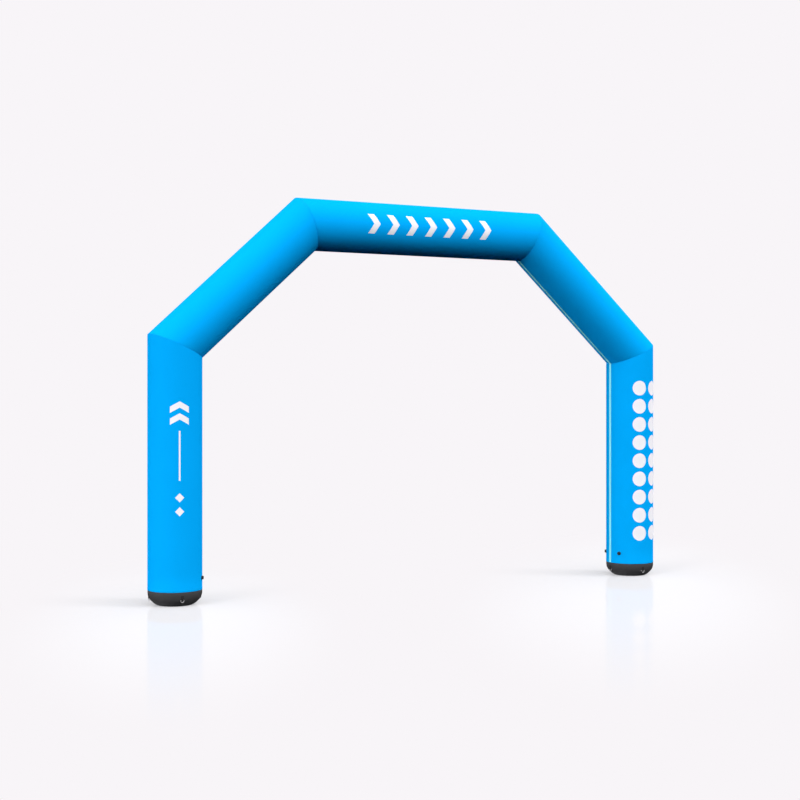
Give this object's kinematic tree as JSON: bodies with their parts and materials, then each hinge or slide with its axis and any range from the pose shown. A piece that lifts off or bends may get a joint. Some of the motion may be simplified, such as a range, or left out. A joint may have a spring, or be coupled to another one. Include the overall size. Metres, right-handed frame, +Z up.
{
  "type": "inflatable arch",
  "caption": "Free-standing inflatable gateway arch: mitred air-filled cloth tubes on black foot boots, with guy rings, air valves and a zip.",
  "frame": {"origin": "middle of the footprint, at the level of the ground", "axes": "+Z up; +X along the span, from the left leg to the right leg as seen from the front; the front faces -Y"},
  "size_m": [5.0334, 0.4604, 3.4715],
  "materials": {
    "cover_cloth": "printed polyester cloth, matt, drawn tight by the air inside",
    "boot_cloth": "black coated cloth, slightly satin",
    "zip_tape": "pale woven zip tape with a moulded chain",
    "webbing": "black woven webbing",
    "valve_plastic": "black moulded plastic",
    "ring_metal": "bright round wire"
  },
  "bodies": {
    "root": {"cover_leg_left": "cover_cloth", "cover_diagonal_left": "cover_cloth", "cover_beam": "cover_cloth", "cover_diagonal_right": "cover_cloth", "cover_leg_right": "cover_cloth", "boot_left": "boot_cloth", "boot_right": "boot_cloth", "zip_leg_right": "zip_tape", "zip_diagonal_right": "zip_tape", "valve_left_front": "valve_plastic", "valve_left_back": "valve_plastic", "valve_right_front": "valve_plastic", "valve_right_back": "valve_plastic", "tab_left_front": "webbing", "ring_left_front": "ring_metal", "tab_left_back": "webbing", "ring_left_back": "ring_metal", "tab_left_inner": "webbing", "ring_left_inner": "ring_metal", "tab_left_outer": "webbing", "ring_left_outer": "ring_metal", "tab_right_front": "webbing", "ring_right_front": "ring_metal", "tab_right_back": "webbing", "ring_right_back": "ring_metal", "tab_right_inner": "webbing", "ring_right_inner": "ring_metal", "tab_right_outer": "webbing", "ring_right_outer": "ring_metal"}
  },
  "joints": []
}
